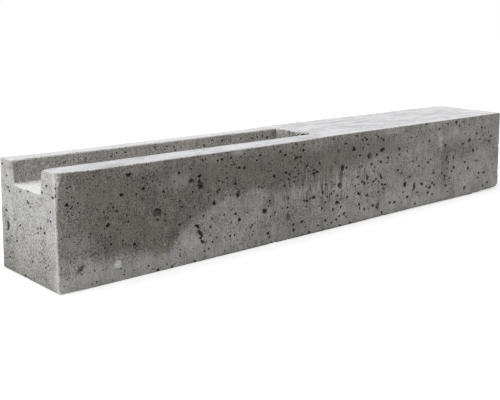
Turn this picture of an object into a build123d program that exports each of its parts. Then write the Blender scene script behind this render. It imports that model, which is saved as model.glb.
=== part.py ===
from build123d import *
import math
import os
import random

# A precast concrete end post for a fence. It lies on its back, slot up. The slotted head end points to -X,
# the solid foot that goes into the ground to +X, and the side that was seen to -Y. Sizes are in millimetres.

# Casting: the mould is wider at its open side, which is the underside here
LENGTH = 1000.0  # overall, along the underside
HEIGHT = 153.5
WIDTH_TOP = 141.5  # across the slotted face
WIDTH_BOTTOM = 148.5  # across the open, trowelled face
HEAD_LEAN = 1.0  # how far the head end leans out from top to bottom
FOOT_LEAN = 8.0  # the same at the foot end

# Slot for the ends of the fence boards, open at the head end
SLOT_LENGTH = 478.0  # from the head end to the end wall, along the slotted face
SLOT_WIDTH = 76.0  # between the walls at the slotted face
SLOT_DEPTH = 32.0
SLOT_WALL_LEAN = 3.8  # how far each wall leans in from the rim to the floor
SLOT_END_LEAN = 5.0  # the same for the end wall

# Edges
MOULD_EDGE = 1.5  # radius of the arrises round the slotted face and up the ends
TROWEL_EDGE = 2.5  # radius of the rougher arrises round the underside
SLOT_RIM = 4.5  # radius of the slot's rims
SLOT_CORNER = 5.0  # radius between the slot's floor and walls

# Blow holes, left by air bubbles against the mould: shallow pits with a rough outline and sloping walls
HOLE_DEPTH = 0.4  # depth as a share of the width
HOLE_WALL = 25.0  # slope of the walls in degrees
HOLE_CORNERS = 7
HOLE_ROUGHNESS = 0.12  # how far a corner may lie in or out, as a share of its distance from the middle
HOLE_SEED = 11
EDGE_MARGIN = 10.0  # scattered holes keep this far from the arrises

# Scattered holes where nothing was seen: how many, and the smallest and largest width
BACK_HOLES = (48, 4.0, 10.0)
UNDERSIDE_HOLES = (24, 4.0, 8.0)
TOP_HOLES = (14, 3.0, 5.0)
FOOT_HOLES = (8, 4.0, 7.0)

# Holes seen on the long side: place in percent of the post's length and height, then length, width and tilt
SIDE_HOLES = [
    (7.2, 50.8, 7, 5, 30),
    (9.4, 74.3, 6, 5, 0),
    (10.6, 91.2, 8, 5, 20),
    (15, 53.4, 12, 11, 0),
    (20.8, 76.9, 7, 5, 0),
    (21.9, 33.2, 7, 4, -60),
    (22.3, 28, 7, 4, -30),
    (22.4, 71, 10, 6, -35),
    (22.7, 18.2, 7, 4, -35),
    (22.7, 24.1, 6, 5, -60),
    (24.9, 52.1, 7, 6, 0),
    (26.5, 92.5, 7, 4, 0),
    (29.6, 58.6, 8, 6, 20),
    (29.8, 31.3, 6, 5, 90),
    (34.9, 34.5, 10, 6, -30),
    (39.2, 87.3, 7, 5, 15),
    (39.4, 69.1, 8, 5, -15),
    (39.9, 22.8, 9, 9, 0),
    (41.5, 82.1, 9, 5, 20),
    (43.1, 89.3, 6, 5, 0),
    (45.5, 63.2, 7, 5, 0),
    (45.7, 38.4, 9, 5, -15),
    (46.3, 63.8, 7, 5, -20),
    (51.3, 27.4, 10, 6, -20),
    (52, 44.3, 10, 6, 0),
    (52.1, 50.2, 14, 11, -45),
    (52.4, 63.8, 8, 7, 0),
    (55.2, 81.4, 9, 8, 30),
    (56.7, 31.9, 8, 6, -15),
    (58.1, 42.3, 7, 6, 0),
    (58.8, 48.2, 7, 6, 90),
    (59.3, 71.7, 11, 9, 45),
    (61.8, 13, 11, 10, 90),
    (62.7, 76.2, 13, 6, 18),
    (66.4, 12.4, 7, 6, 0),
    (69.3, 31.3, 11, 8, -45),
    (72.1, 26.7, 11, 7, 80),
    (74.3, 28, 10, 6, -30),
    (76.1, 52.1, 7, 5, -10),
    (76.4, 15, 7, 6, 0),
    (76.8, 20.8, 7, 6, 0),
    (81.1, 69.1, 7, 5, 0),
    (81.9, 54.1, 7, 5, 0),
    (84.3, 39.7, 7, 7, 0),
    (86.9, 67.1, 8, 5, 0),
    (88, 43.6, 8, 5, 0),
    (88.3, 10.4, 9, 6, -50),
    (89.1, 35.2, 8, 5, -15),
    (89.1, 70.4, 11, 5, 10),
    (90.6, 56.7, 8, 6, 90),
    (93, 26.1, 7, 5, -20),
    (94.9, 25.4, 9, 5, -10),
    (96.3, 9.8, 8, 5, 10),
]

# Holes seen on the head end: place in percent of the width from the middle and of the height, then as above
HEAD_HOLES = [
    (-0.7, 68.4, 7, 4, -15),
    (31.6, 87.9, 5, 4, 0),
    (41.1, 80.1, 5, 4, 0),
    (-39.1, 41, 13, 6, 80),
    (14.8, 45.6, 5, 4, 0),
    (19.5, 50.2, 5, 4, 0),
    (26.3, 48.2, 6, 4, -10),
    (-23.6, 30.6, 5, 4, 0),
]

# Holes seen on the slot's far wall: place in percent of the slot's length and depth, then as above
SLOT_HOLES = [
    (36.8, 25, 4, 3, 0),
    (52.3, 21.9, 4, 3, 0),
    (67.4, 40.6, 5, 4, 0),
    (75.3, 28.1, 5, 4, 10),
    (83.7, 28.1, 5, 4, 0),
    (89.1, 34.4, 4, 3, 0),
    (93.7, 28.1, 4, 3, 0),
    (95.8, 40.6, 5, 4, -20),
]

# Pits knocked out of the edges: place along the edge, distance from it, then length, width and tilt
RIM_BITES = [(-24, 0, 15, 12, 0), (-8, 0, 12, 9, 0), (17, 0, 10, 8, 0)]  # over the slot's end wall
FOOT_BITES = [(13, 0, 9, 7, 0)]  # the foot's top edge
ARRIS_BITES = [(34, 0, 6, 5, 0), (76, 0, 5, 4, 0)]  # the seen side's top arris, from the head end
CORNER_BREAKS = [(-1, 9), (1, 7)]  # the foot's lower corners: side, reach along the edges

SPARE = 20.0  # how far a cutting solid runs on into the open

head_top_x = -LENGTH / 2 + HEAD_LEAN
foot_top_x = LENGTH / 2 - FOOT_LEAN
slot_end_x = head_top_x + SLOT_LENGTH
slot_floor_z = HEIGHT - SLOT_DEPTH
side_lean = (WIDTH_BOTTOM - WIDTH_TOP) / 2

# Each face as a drawing plane: X along it, Y up it or across it, Z out of the concrete
side_face = Plane((-LENGTH / 2, -WIDTH_BOTTOM / 2, 0), x_dir=(1, 0, 0), z_dir=(0, -HEIGHT, side_lean))
back_face = Plane((LENGTH / 2, WIDTH_BOTTOM / 2, 0), x_dir=(-1, 0, 0), z_dir=(0, HEIGHT, side_lean))
head_face = Plane((-LENGTH / 2, 0, 0), x_dir=(0, -1, 0), z_dir=(-HEIGHT, 0, HEAD_LEAN))
foot_face = Plane((LENGTH / 2, 0, 0), x_dir=(0, 1, 0), z_dir=(HEIGHT, 0, FOOT_LEAN))
under_face = Plane((-LENGTH / 2, 0, 0), x_dir=(1, 0, 0), z_dir=(0, 0, -1))
top_face = Plane((slot_end_x, 0, HEIGHT), x_dir=(1, 0, 0), z_dir=(0, 0, 1))
slot_wall_out = (0, -SLOT_DEPTH, SLOT_WALL_LEAN)
slot_face = Plane((head_top_x, SLOT_WIDTH / 2, HEIGHT), x_dir=(1, 0, 0), z_dir=slot_wall_out)

# The same for edges, with Z out between the two faces that meet there
slot_end_rim = Plane((slot_end_x, 0, HEIGHT), x_dir=(0, 1, 0), z_dir=(-1, 0, 1))
foot_top_edge = Plane((foot_top_x, 0, HEIGHT), x_dir=(0, 1, 0), z_dir=(1, 0, 1))
side_top_arris = Plane((head_top_x, -WIDTH_TOP / 2, HEIGHT), x_dir=(1, 0, 0), z_dir=(0, -1, 1))


def prism(plane, outline, reach):
    """An outline drawn on a plane and pushed out both ways."""
    return extrude(plane * make_face(Polyline(*outline, close=True)), reach, both=True)


def casting():
    """The block as it leaves the mould, wider and longer underneath."""
    side_view = [
        (-LENGTH / 2, 0),
        (LENGTH / 2, 0),
        (foot_top_x, HEIGHT),
        (head_top_x, HEIGHT),
    ]
    end_view = [
        (-WIDTH_BOTTOM / 2, 0),
        (WIDTH_BOTTOM / 2, 0),
        (WIDTH_TOP / 2, HEIGHT),
        (-WIDTH_TOP / 2, HEIGHT),
    ]
    return prism(Plane.XZ, side_view, WIDTH_BOTTOM) & prism(Plane.YZ, end_view, LENGTH)


def rises(edge):
    """Whether an edge runs up rather than along."""
    return abs(edge.tangent_at(0.5).Z) > 0.5


def slot_core():
    """The solid that forms the slot, run out past the head end and above the slotted face."""
    half_floor = SLOT_WIDTH / 2 - SLOT_WALL_LEAN
    half_spare = SLOT_WIDTH / 2 + SLOT_WALL_LEAN * SPARE / SLOT_DEPTH
    end_view = [
        (-half_floor, slot_floor_z),
        (half_floor, slot_floor_z),
        (half_spare, HEIGHT + SPARE),
        (-half_spare, HEIGHT + SPARE),
    ]
    side_view = [
        (head_top_x - SPARE, slot_floor_z),
        (slot_end_x - SLOT_END_LEAN, slot_floor_z),
        (slot_end_x + SLOT_END_LEAN * SPARE / SLOT_DEPTH, HEIGHT + SPARE),
        (head_top_x - SPARE, HEIGHT + SPARE),
    ]
    core = prism(Plane.XZ, side_view, WIDTH_TOP) & prism(Plane.YZ, end_view, LENGTH)
    floor = core.faces().sort_by(Axis.Z)[0]
    end_wall = core.faces().sort_by(Axis.X)[-1]
    corners = floor.edges().sort_by(Axis.X)[1:] + end_wall.edges().filter_by(rises)
    return fillet(corners, SLOT_CORNER)


def edges_where(shape, test):
    """The edges whose middle point passes a test."""
    return shape.edges().filter_by(lambda edge: test(edge.position_at(0.5)))


def rounded(block):
    """Rounds the slot's rims, then the arrises against the mould, then the rougher underside."""
    near = 0.01
    top_z = HEIGHT - near
    rims = edges_where(block, lambda p: p.Z > top_z and abs(abs(p.Y) - SLOT_WIDTH / 2) < near)
    block = fillet(rims, SLOT_RIM)
    long_tops = edges_where(block, lambda p: p.Z > top_z and abs(p.Y) > WIDTH_TOP / 2 - near)
    head_tops = edges_where(block, lambda p: p.Z > top_z and p.X < head_top_x + near)
    foot_top = edges_where(block, lambda p: p.Z > top_z and p.X > foot_top_x - near)
    uprights = edges_where(block, lambda p: p.Z > near and abs(p.Y) > WIDTH_TOP / 2 + near)
    block = fillet(long_tops + head_tops + foot_top + uprights, MOULD_EDGE)
    underside = edges_where(block, lambda p: p.Z < near)
    return fillet(underside, TROWEL_EDGE)


def pit(rng, length, width):
    """A rough tapered plug that cuts one pit, with its mouth on the XY plane and its bottom below."""
    depth = HOLE_DEPTH * width
    spread = depth * math.tan(math.radians(HOLE_WALL))
    corners = []
    for number in range(HOLE_CORNERS):
        angle = 2 * math.pi * number / HOLE_CORNERS
        rough = rng.uniform(1 - HOLE_ROUGHNESS, 1 + HOLE_ROUGHNESS)
        x = rough * (length / 2 - spread) * math.cos(angle)
        y = rough * (width / 2 - spread) * math.sin(angle)
        corners.append((x, y))
    bottom = Pos(0, 0, -depth) * make_face(Polyline(*corners, close=True))
    return extrude(bottom, 2 * depth, taper=-HOLE_WALL)


def pits(rng, face, places):
    """Plugs at places on a face or an edge, each turned by its tilt in degrees."""
    return [
        face * Pos(along, up, 0) * Rot(0, 0, tilt) * pit(rng, length, width)
        for along, up, length, width, tilt in places
    ]


def scattered(rng, amount, along, up):
    """Places for holes where none were seen, small ones most often."""
    count, smallest, largest = amount
    places = []
    for _ in range(count):
        width = smallest + (largest - smallest) * rng.random() ** 2.5
        place = (rng.uniform(*along), rng.uniform(*up))
        places.append((*place, width * rng.uniform(1, 1.5), width, rng.uniform(-90, 90)))
    return places


def placed(holes, length, height):
    """Holes with their places turned from percent of a face into millimetres."""
    return [(length * along / 100, height * up / 100, *size) for along, up, *size in holes]


def span(start, end):
    """The stretch between two edges of a face that scattered holes may use."""
    return start + EDGE_MARGIN, end - EDGE_MARGIN


def blow_holes(rng):
    """Plugs for every blow hole: those that were seen, and scattered ones on the other faces."""
    along = span(0, LENGTH)
    up = span(0, HEIGHT)
    across = span(-WIDTH_TOP / 2, WIDTH_TOP / 2)
    solid_half = span(0, foot_top_x - slot_end_x)
    plugs = pits(rng, side_face, placed(SIDE_HOLES, LENGTH, HEIGHT))
    plugs += pits(rng, head_face, placed(HEAD_HOLES, WIDTH_BOTTOM, HEIGHT))
    plugs += pits(rng, slot_face, placed(SLOT_HOLES, SLOT_LENGTH, -SLOT_DEPTH))
    plugs += pits(rng, back_face, scattered(rng, BACK_HOLES, along, up))
    plugs += pits(rng, under_face, scattered(rng, UNDERSIDE_HOLES, along, across))
    plugs += pits(rng, foot_face, scattered(rng, FOOT_HOLES, across, up))
    plugs += pits(rng, top_face, scattered(rng, TOP_HOLES, solid_half, across))
    return plugs


def edge_breaks(rng):
    """Plugs that break the rims and arrises, and blocks that take off the foot's lower corners."""
    plugs = pits(rng, slot_end_rim, RIM_BITES)
    plugs += pits(rng, foot_top_edge, FOOT_BITES)
    plugs += pits(rng, side_top_arris, ARRIS_BITES)
    for side, reach in CORNER_BREAKS:
        in_from_corner = reach / 3
        middle = (LENGTH / 2 - in_from_corner, side * (WIDTH_BOTTOM / 2 - in_from_corner), in_from_corner)
        cut = Plane(middle, z_dir=(1, side, -1))
        plugs.append(cut * Pos(0, 0, reach) * Box(4 * reach, 4 * reach, 2 * reach))
    return plugs


rng = random.Random(HOLE_SEED)
post = rounded(casting() - slot_core()) - (blow_holes(rng) + edge_breaks(rng))

os.makedirs("parts", exist_ok=True)
export_step(post, "parts/post.step")
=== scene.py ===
import math
import random

import bmesh
import bpy
import numpy as np
from mathutils import Matrix, Vector, kdtree, noise
from mathutils.geometry import delaunay_2d_cdt


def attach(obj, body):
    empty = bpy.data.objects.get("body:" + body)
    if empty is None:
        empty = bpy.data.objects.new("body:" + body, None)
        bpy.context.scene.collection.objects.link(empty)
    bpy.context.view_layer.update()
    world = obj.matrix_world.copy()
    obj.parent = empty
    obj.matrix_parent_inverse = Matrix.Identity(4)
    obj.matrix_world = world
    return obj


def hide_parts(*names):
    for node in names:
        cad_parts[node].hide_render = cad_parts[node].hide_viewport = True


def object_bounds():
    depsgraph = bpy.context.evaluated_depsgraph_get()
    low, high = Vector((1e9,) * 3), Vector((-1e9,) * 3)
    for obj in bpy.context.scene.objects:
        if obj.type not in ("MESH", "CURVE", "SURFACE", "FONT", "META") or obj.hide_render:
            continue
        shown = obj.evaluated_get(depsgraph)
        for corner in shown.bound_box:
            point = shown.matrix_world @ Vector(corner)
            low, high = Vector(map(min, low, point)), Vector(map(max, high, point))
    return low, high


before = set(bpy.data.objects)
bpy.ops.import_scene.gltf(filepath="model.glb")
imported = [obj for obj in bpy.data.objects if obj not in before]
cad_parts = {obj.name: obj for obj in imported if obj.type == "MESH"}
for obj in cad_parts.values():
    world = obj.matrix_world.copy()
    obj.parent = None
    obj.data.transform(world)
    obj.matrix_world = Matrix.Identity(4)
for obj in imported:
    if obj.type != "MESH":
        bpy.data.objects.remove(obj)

# A precast concrete end post for a fence, lying on its back with its slot up. Shapes are worked out in
# millimetres in the model's own frame and turned into metres when the mesh is made.
MM = 0.001
cad_low, cad_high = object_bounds()

# Casting
LENGTH = 1000.0
HEIGHT = 153.5
WIDTH_TOP = 141.5
WIDTH_BOTTOM = 148.5
HEAD_LEAN = 1.0
FOOT_LEAN = 8.0

# Slot
SLOT_LENGTH = 478.0
SLOT_WIDTH = 76.0
SLOT_DEPTH = 32.0
SLOT_WALL_LEAN = 3.8
SLOT_END_LEAN = 5.0

# Radii of the edges, as they show
MOULD_EDGE = 1.5
TROWEL_EDGE = 1.2
SLOT_RIM = 1.6
SLOT_CORNER = 4.5
SLOT_END_CORNER = 1.8
MOUTH_RIM = {"near": 7.5, "far": 8.0}  # at the slot's open end
MOUTH_REACH = 18.0  # how far along the walls that goes
EDGE_STEPS = 4

HALF_LENGTH = LENGTH / 2
HALF_TOP = WIDTH_TOP / 2
HALF_BOTTOM = WIDTH_BOTTOM / 2
HALF_SLOT = SLOT_WIDTH / 2
head_top_x = -HALF_LENGTH + HEAD_LEAN
foot_top_x = HALF_LENGTH - FOOT_LEAN
slot_end_x = head_top_x + SLOT_LENGTH
slot_floor_z = HEIGHT - SLOT_DEPTH

# Mesh: spacing of its points
EDGE_SPACING = 3.0
EDGE_LENGTHS = ((0, (1000, 478)), (1, (148, 76, 32)), (2, (153, 32)))  # rough, by axis
FACE_SPACING = 7.0
SEEN_SPACING = 4.0  # on the seen side, which carries the stains
BREAK_SPACING = 1.6  # round the breaks and the slot's mouth
BREAK_ROW = 0.87  # between rows there, as a share of that
BREAK_REACH = 1.5  # how far out those points go, as a share of the radius
STRAY = 0.2  # off the grid, as a share of the spacing
OUTLINE_CLEAR = 0.4  # between a grid and an outline, as a share of the spacing
SMALL_PIT = 3.2  # narrower pits get fewer points
SMALL_PIT_POINTS = 8  # in a ring
PIT_POINTS = (10, 20)
PIT_REACH = 14.0  # no pit reaches farther along its face
PIT_CLEAR = 1.6  # where the grid starts, if the pit's rim is 1
RING_CLEAR = 0.35  # between a pit's points and an outline
SHARP_ANGLE = 38.0
BOX_MARGIN = 0.01  # inside the CAD model's box

# Holes as they were read off the faces, in a frame that is slightly larger than this one:
# x or y, height, length, width and tilt in degrees. One size means a round hole.
READ_SCALE = {"front": 0.99, "far_wall": 0.99, "head": 0.987}
READ_SHIFT = {"front": 2.75, "far_wall": 2.75, "head": 3.0}
READ_HEIGHT = 0.996
READ_GROWTH = {"front": 1.12, "head": 1.0}  # of the small ones
READ_SMALL = 6.0  # which are shorter than this
FRONT_PITS = [
    (-469.8, 21.4, 2.4),
    (-394, 140, 8, 5, 20), (-406, 114.5, 6, 5), (-383, 112, 3), (-371.5, 118, 5, 4),
    (-428, 78, 6.5, 5, 30), (-350, 82, 14.2, 12.6), (-348.8, 71.6, 3), (-351.7, 73.4, 2.2), (-312, 132, 4),
    (-312, 59.5, 3.5), (-388, 45.5, 5, 4), (-424.5, 52, 3), (-434, 49, 2.5), (-454, 71, 2.5),
    (-486, 113, 4, 5), (-481, 108, 2.5), (-479, 110, 2.5), (-471, 113, 2.5), (-337, 69, 2.6),
    (-336.5, 78, 2.5), (-338.5, 109.5, 5, 3, -30), (-320, 121, 3, 2), (-311, 92.5, 3), (-414, 94.5, 3),
    (-427.5, 87.5, 3, 2), (-419, 100, 2.5), (-434, 96, 2), (-444, 101, 2), (-397, 78, 3.5, 2.5),
    (-399, 86, 2, 3), (-446.5, 145, 2.5), (-440, 131.5, 1.5), (-485, 134, 3, 2), (-480.5, 135.7, 2.5),
    (-479, 122, 2), (-456, 122, 2), (-350.5, 2.3, 4, 5), (-326.5, 2, 4, 5), (-406, 8, 3, 2),
    (-448, 7, 3, 2), (-335.5, 8, 2.5), (-404.5, 12.5, 2), (-411, 17, 2), (-366, 11.5, 2.5),
    (-406, 54, 2.5), (-381.5, 46, 2), (-372, 132.5, 3), (-368, 131.5, 2), (-327, 101.5, 2),
    (-332.5, 113, 3, 2), (-318, 67, 2), (-315.5, 46, 2.5, 2), (-290.2, 118.5, 6.5, 4.5), (-276, 123, 7, 5),
    (-274.2, 107.8, 8, 6, -35), (-277, 105, 3, 2), (-250, 80.5, 6.5, 6), (-234.5, 142.5, 6.5, 3.5),
    (-217.5, 143, 3.5), (-243, 141.5, 3), (-270.5, 146, 3), (-265, 146.5, 2.5), (-291, 135.5, 3, 2),
    (-216, 132, 3, 2.5), (-210.5, 132.5, 3.5, 2.5), (-226.5, 130.5, 3, 2), (-201.5, 126, 4),
    (-191.5, 124.5, 5, 3), (-167, 133, 3.5, 3), (-160, 140, 4.5, 3), (-192, 146.5, 2.5),
    (-118, 141, 4.5, 4), (-107.5, 134.5, 7, 4, 15), (-209.5, 103, 5, 3), (-225, 113.5, 3),
    (-204, 85.8, 6, 5), (-204.5, 84, 5, 3), (-240.5, 111, 3.5, 2.5), (-240, 99, 4, 2),
    (-243.5, 96, 4, 3, -30), (-288.5, 102, 3), (-286, 81, 2.5), (-294, 67.5, 3.5, 3), (-270, 65, 3),
    (-253.5, 58.5, 3, 2.5), (-257, 47, 3.5, 4), (-231, 60.5, 3), (-209, 58.5, 5, 3.5, -25),
    (-201.5, 48.5, 4.5, 6), (-281, 52, 8, 5, -45), (-276.3, 42, 9.5, 5.5, -45), (-273.5, 37, 6, 4, -45),
    (-275.5, 34, 5, 3, -45), (-272, 28, 8, 4.5, -45), (-253.5, 24.5, 3.5, 3), (-269, 13.5, 3.5, 2.5),
    (-261, 16, 3), (-286, 2.5, 4, 3), (-220, 27, 3.5), (-211, 27, 3), (-150.5, 53.5, 10, 7, -30),
    (-140, 67.5, 4, 3.5), (-139, 63.5, 3), (-142.5, 60, 3), (-152, 74.5, 3.5, 2), (-162.5, 92.5, 3),
    (-156.5, 90.5, 3.5, 2.5), (-130.5, 104.5, 5, 4, -45), (-105.5, 106.5, 7, 4, -15),
    (-100.5, 96, 4, 3), (-109, 87, 3), (-138, 43, 3), (-128.5, 48, 3, 2.5), (-143, 18, 5.5, 4),
    (-140.5, 11.5, 3.5), (-176, 36.5, 3), (-179, 33, 3), (-173.5, 26, 2.5), (-175.5, 21, 3, 2),
    (-136, 3, 3.5, 2.5), (-194.5, 0.5, 4, 3), (-112.5, 52, 3.5, 3), (-101.5, 52, 3.5, 3),
    (-246, 30, 3, 2), (-265, 116.5, 3, 2), (-276.5, 115.5, 4, 6), (-250.5, 151.7, 3, 1.5),
    (-123, 149.7, 3.5, 2), (-137, 113.5, 2.5), (-143.5, 113.5, 3), (-199.5, 142.5, 4, 2),
    (-175.5, 139, 3.5, 2), (-228.5, 89, 3, 2), (-219, 87.5, 3), (-207.5, 127, 2.5), (-225, 121, 4, 2),
    (-234, 108, 3.5, 2), (-217.5, 46.5, 3, 2), (-230.5, 7, 2.5), (-257, 35, 3.5, 2),
    (-68, 138, 5.5, 4.5), (-83.5, 127, 9, 5, 20), (-73.5, 128, 5, 3), (-74.5, 120.5, 3.5, 2.5),
    (-79, 116.5, 3, 2), (-86, 112, 4, 3), (-59, 112, 6, 4, 20), (-30, 112.5, 5.5, 3.5, -15),
    (-49, 107.5, 3, 2.5), (-43.5, 103, 5, 3), (-43.5, 97.5, 6.5, 4), (-35.5, 99, 7, 4.5, -20),
    (-55.5, 103, 4, 2), (-98, 103, 4, 3), (-85, 97, 4, 3), (-87, 90, 4), (-78, 101.5, 4, 2),
    (-108.5, 86.5, 4, 3), (-87.5, 22, 4.5), (-87, 13.5, 5.5, 4.5), (-69, 23.5, 5.5, 4.5),
    (-60.5, 14, 3.5, 3), (-52, 3.7, 5, 4), (-31, 11, 4, 3), (-13.5, 16.5, 5.5, 5), (-9, 9, 3, 2),
    (-26, 1, 5, 2.5), (-42, 59, 9, 4.5, -15), (-64, 57.5, 4, 3), (-58, 56, 4.5, 3.5),
    (-50, 58.5, 3, 2.5), (-59.5, 46.5, 4, 3), (-21, 64, 4.5, 5.5), (-22, 38, 4.5, 3.5),
    (-17, 33.5, 3, 2), (-14.5, 76, 5, 3, -30), (-10.5, 55.5, 4, 3), (-1, 59.5, 3.5, 4),
    (-14.5, 47, 3.5, 3), (4, 32.5, 4.5), (14, 42.5, 10, 5, -20), (20, 70, 11, 11), (26, 98, 8, 10),
    (35.5, 97.5, 6, 4), (53, 126.5, 8, 8.5), (69, 114.5, 6, 3.5), (86, 139, 6, 4, 20), (80.5, 142.5, 4, 3),
    (89, 130.5, 4, 3), (75, 139, 5, 2), (91.5, 110.5, 4.5, 8), (65, 78.5, 5.5, 4), (90, 74, 5.5, 7),
    (82, 65.5, 6, 5.5), (75.5, 69, 6, 3.5, 15), (67, 65.5, 3.5, 2), (91.5, 65, 4, 2),
    (68.5, 49.5, 8, 5.5, -15), (89.5, 44, 7, 4), (58.5, 64, 4, 2.5, -30), (70, 30.5, 5, 4, -40),
    (71.5, 24, 4, 3), (84.5, 20, 5, 4.5), (32, 21, 6, 5), (47.5, 2.3, 5, 4), (22.5, 2.3, 5, 3.5),
    (20, 18.5, 4, 3.5), (13, 14, 4), (1, 10.5, 3, 4), (23, 33.5, 4), (40, 48.5, 5, 2.5),
    (14.5, 54, 4, 3), (5.5, 62.5, 4, 3), (-67.5, 146.5, 4, 2), (-84.5, 150, 4, 3), (-92, 145, 3.5, 2),
    (2, 147.5, 4.5, 2.5), (60, 147.5, 4, 2.5), (32, 138, 7, 2.5), (-44.5, 147, 3, 2),
    (-93, 136.5, 3, 1.5), (-97.5, 123, 3, 2), (-68.5, 1.6, 4, 3), (-99.5, 65.5, 4, 2),
    (127.5, 117.5, 12.5, 6, 22), (113.5, 110.5, 5.5, 4.5), (100.5, 96, 5, 4.5), (125, 97, 6, 5, -35),
    (144.5, 102, 5.5, 4), (143, 93.5, 6, 2.5), (129.5, 134.5, 5, 4), (123.5, 138, 4, 2.5),
    (115, 141, 4.5, 3), (175.5, 114, 6.5, 4.5, 20), (175.5, 104, 5, 3), (174, 77, 5, 3.5),
    (198.5, 108.5, 4.5, 3), (263.5, 119.5, 5, 4.5), (262.5, 80.5, 7, 4.5, -10), (270, 85, 6, 3),
    (234, 77, 6, 3.5), (208.5, 61, 4.5, 3.5), (195.5, 48.5, 10, 8.5, -45), (223.5, 41.5, 7, 11),
    (220, 35, 4, 5), (245.5, 43, 9.5, 5.5, -30), (260, 36, 4.5, 4), (270.5, 32.5, 7, 5.5),
    (266.5, 23.5, 7, 6), (278.5, 40.5, 5.5, 3.5, -15), (284.5, 35.5, 5.5, 4), (279.5, 18.5, 5.5, 3),
    (233, 29, 5, 3.5, -30), (204, 24.5, 5.5), (166.5, 20, 7, 6), (154, 21.5, 6, 4.5),
    (107, 23, 5.5, 5), (119.5, 17, 4, 5), (228, 8, 6.5, 4), (190.5, 35, 6, 3), (138.5, 56, 7, 4, -10),
    (130.5, 57, 5, 4, -40), (125, 73, 4, 5.5), (128, 69, 5, 4, -40), (106.5, 65.5, 5.5, 3.5),
    (113, 69, 5, 3), (133.5, 50, 7, 2.5), (120.5, 45.5, 4.5, 4), (121, 63, 4, 2), (280.5, 59, 5, 4),
    (252.5, 151, 6.5, 3), (292.5, 138.5, 5, 4), (225, 131, 4, 2), (165.5, 139.5, 4, 2),
    (132, 7, 6, 4, -45), (314, 106.5, 7, 4.5), (322, 83.5, 6.5, 4), (317, 48.5, 6, 5.5),
    (322.5, 29.5, 6.5, 5), (346, 61.5, 6.5), (339.5, 55, 5.5, 3.5), (343, 80.5, 5, 4),
    (372, 103.5, 7.5, 4), (394.5, 108.5, 10, 5, 10), (418, 119.5, 5.5, 4), (409.5, 87.5, 6, 8),
    (383, 67.5, 7.5, 4), (395, 54, 8, 4.5, -15), (433.5, 40, 7, 4.5, -20), (431, 31, 6, 4),
    (453, 39, 8.5, 4, -10), (386, 16, 7, 8, -45), (451, 10, 7, 4.5, -30), (467, 15, 8, 3.5, 10),
    (469.5, 109.5, 6.5, 4), (463.5, 101, 8, 4), (435.5, 130, 7, 3.5, -10), (319, 146, 6, 3),
    (347, 147, 8, 5), (357.5, 139, 5, 4), (329, 16.5, 6, 3), (333, 42.5, 5, 3), (324.5, 62, 5, 2),
    (307.5, 55, 5, 3), (419, 66.5, 6, 3), (326.5, 74, 4, 3),
]
FRONT_DENTS = [
    (-290.5, 118, 11, 7), (-275, 109.4, 12.5, 9, -35), (-203.5, 88.7, 8.5, 10), (94, 111.5, 10, 11.5),
    (-470.5, 28.5, 14, 5.5, 45), (-99.5, 36.5, 10, 13), (-265.5, 26, 3, 5), (22, 82, 8, 24),
    (37, 15, 9, 3.5, -45), (35, 84, 3.5, 2.5), (73.5, 95.5, 4, 5), (69, 95, 4), (91, 32.5, 6, 3),
    (95, 20, 5, 2), (14.5, 127.5, 5, 6), (76, 125, 4, 6), (61, 13, 3, 2), (145, 97.5, 4, 2),
    (109, 145, 5, 3), (198.5, 115, 4, 3), (202.5, 121.5, 5, 3), (254, 88.5, 4, 3), (119.5, 20.5, 11, 12),
    (239, 20.5, 5, 3), (186.5, 16, 5, 2), (181, 27, 4, 3), (135.5, 46.5, 5, 3), (230, 59, 4, 2.5),
    (183, 71, 8, 5), (107, 83.5, 5, 3), (226.5, 92, 4, 7), (216, 87.5, 9, 4), (209, 131, 8, 2.5),
    (244, 120, 5, 3), (281, 128.5, 8, 2), (108, 90, 5, 3), (306.5, 113, 4), (318.5, 78.5, 5.5, 4),
    (317.5, 42, 5, 3), (465, 96.5, 6, 3), (447, 127.5, 7, 4), (429.5, 106.5, 6, 4), (442.5, 113, 6, 3),
    (450, 103.5, 7, 3), (370.5, 145.5, 12, 3), (391, 138.5, 6, 2.5), (378.5, 122.5, 6, 4),
    (481.5, 52, 6, 4), (368.5, 47, 5, 4), (427.5, 65, 6, 3), (460, 118, 5, 3), (421, 88.5, 5, 3),
    (345.5, 93.5, 4), (375, 94.5, 4, 3),
]
HEAD_PITS = [
    (1.5, 105.5, 8, 4.2, -32), (-4.5, 100.5, 5, 2, 15), (-47.5, 135, 5, 4), (-62, 123, 5, 4),
    (-68, 126, 3), (58.5, 63.5, 7, 13), (-22.5, 70, 4.5, 3), (-29.5, 78, 5, 3.5),
    (-39.5, 74, 5.5, 3.5), (25, 70.5, 5, 3, 20), (35.5, 47, 5, 3.5), (57, 19, 6, 3),
    (48.5, 28.5, 4, 2.5), (-5.5, 28, 5, 2.5), (55, 116.5, 5.5, 2.5), (51.5, 112, 4.5, 2),
    (21, 116, 4.5, 2), (1, 120, 5, 3), (-55.5, 103.5, 4, 2.5), (-55.5, 92, 4.5, 2), (-48.5, 90.5, 3),
    (-36, 125, 4, 3), (68, 145.5, 5, 2.5), (56.5, 131.5, 5, 2), (15.5, 3, 6, 4), (6, 3, 4, 2),
    (-68, 135.5, 4, 2.5), (49.5, 51, 4.5, 2), (-54, 125.5, 3, 1.5), (62, 83.5, 6, 4),
]
HEAD_DENTS = [
    (64.5, 42, 5, 7), (-22.5, 76, 4), (-10, 70, 3.5, 2), (38.5, 75.5, 9, 2.5, 20), (-39.5, 28, 4, 3),
    (-47.5, 33.5, 3.5), (46, 143.5, 6, 1.5), (-44, 116.5, 4, 2),
]
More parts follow.
